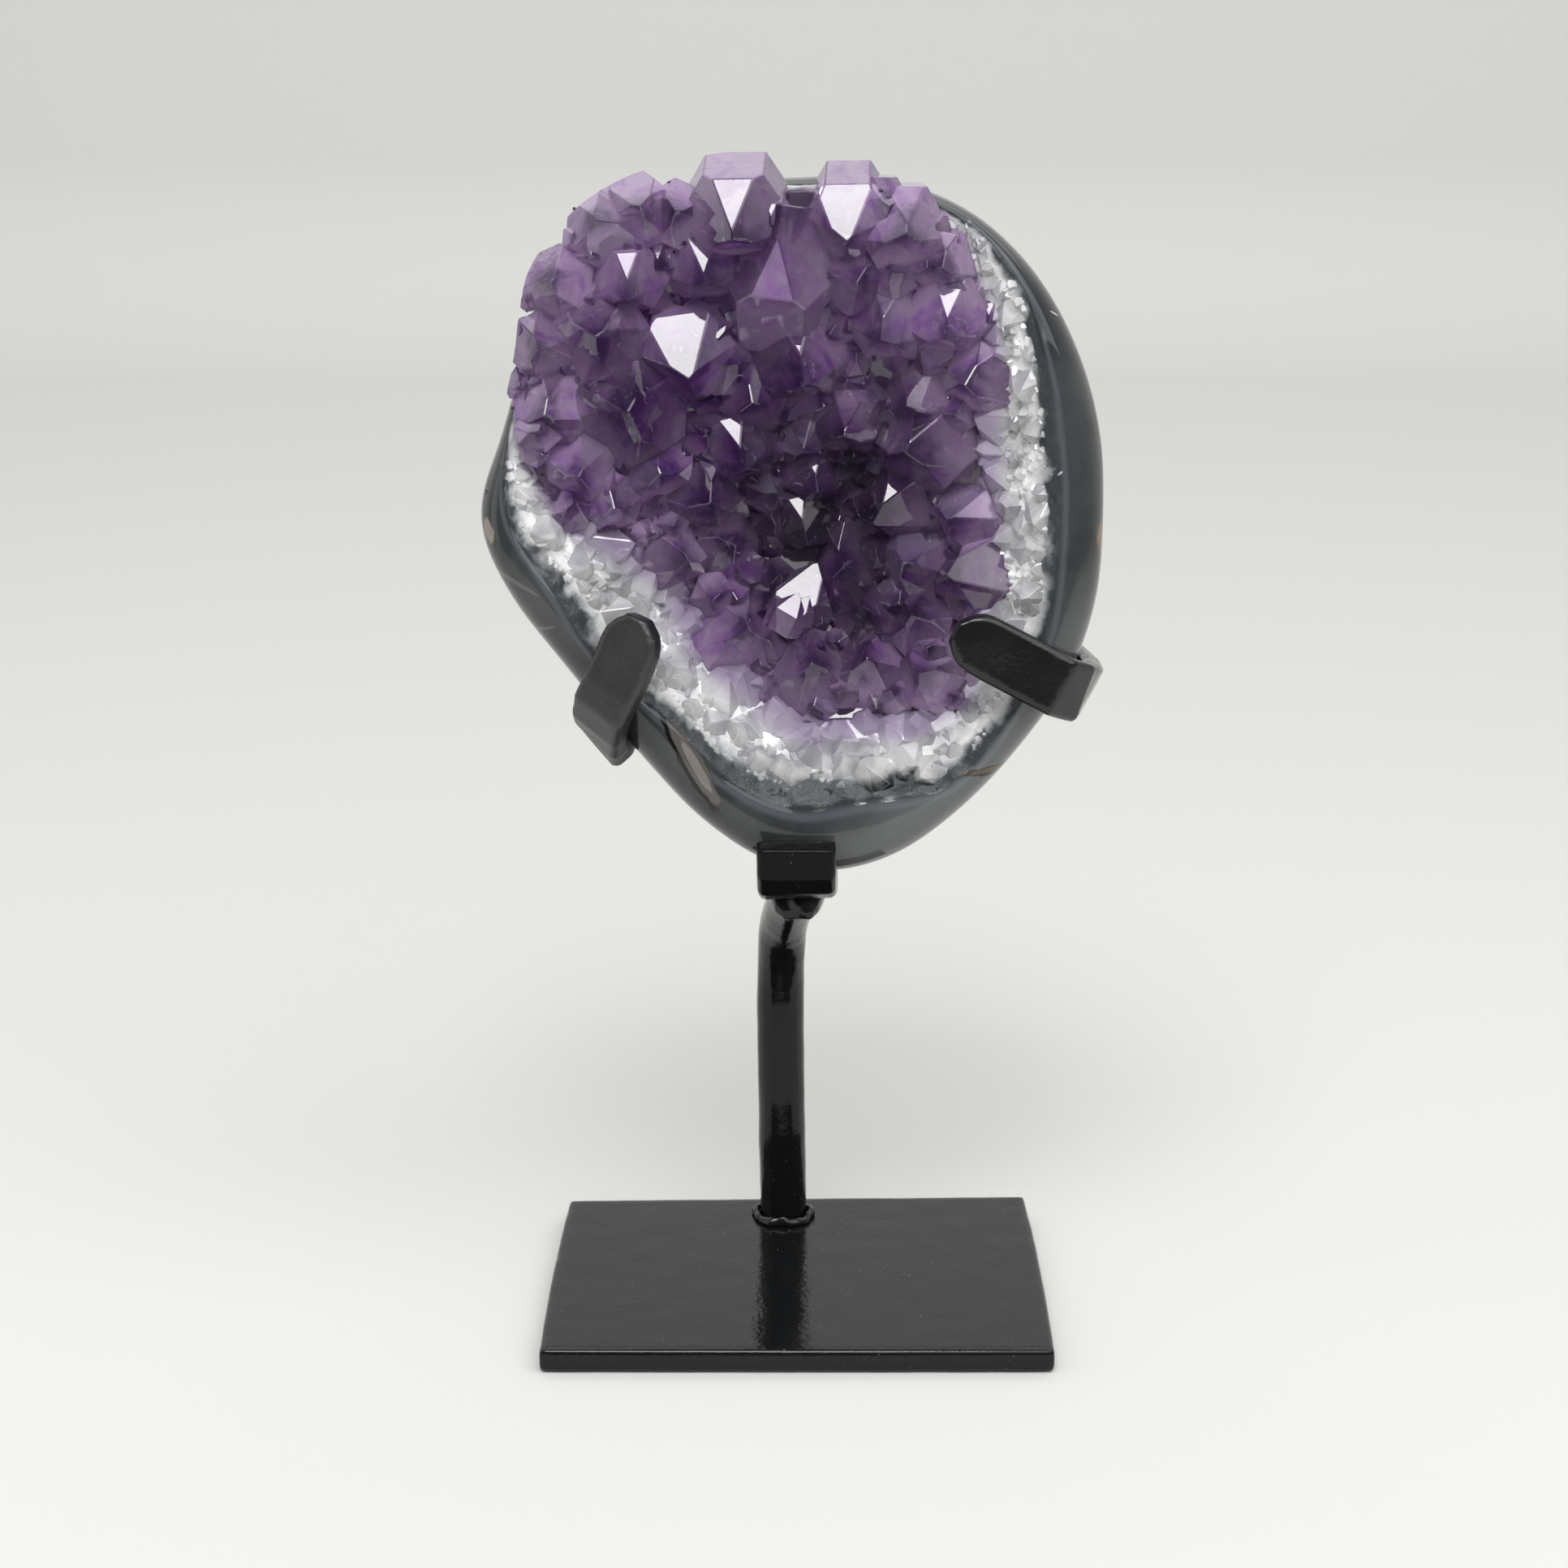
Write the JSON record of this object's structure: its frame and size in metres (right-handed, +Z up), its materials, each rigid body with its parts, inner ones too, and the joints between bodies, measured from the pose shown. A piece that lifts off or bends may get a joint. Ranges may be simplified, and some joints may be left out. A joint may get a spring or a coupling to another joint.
{
  "type": "amethyst cluster on stand",
  "caption": "Amethyst geode with a hollow of purple crystals in a grey agate rind, held upright by a black steel claw stand with a flat base plate.",
  "frame": {"origin": "centre of the base plate's underside, on the surface that the stand rests on", "axes": "+Z up along the post; the crystals face -Y, towards the viewer; +X is to the viewer's right"},
  "size_m": [0.1156, 0.0855, 0.2225],
  "materials": {
    "black_enamel": "gloss black enamel over mild steel, with slight orange peel, dust and rounded edges",
    "agate_rind": "polished grey agate round a white to translucent granular quartz band; rough at the back",
    "amethyst": "natural quartz crystal faces, clear to deep purple, glassy"
  },
  "bodies": {
    "root": {"base_plate": "black_enamel", "foot_weld": "black_enamel", "post": "black_enamel", "head_weld": "black_enamel", "cradle": "black_enamel", "right_arm": "black_enamel", "left_arm": "black_enamel", "geode_body": "agate_rind", "amethyst_crust": "amethyst"}
  },
  "joints": []
}
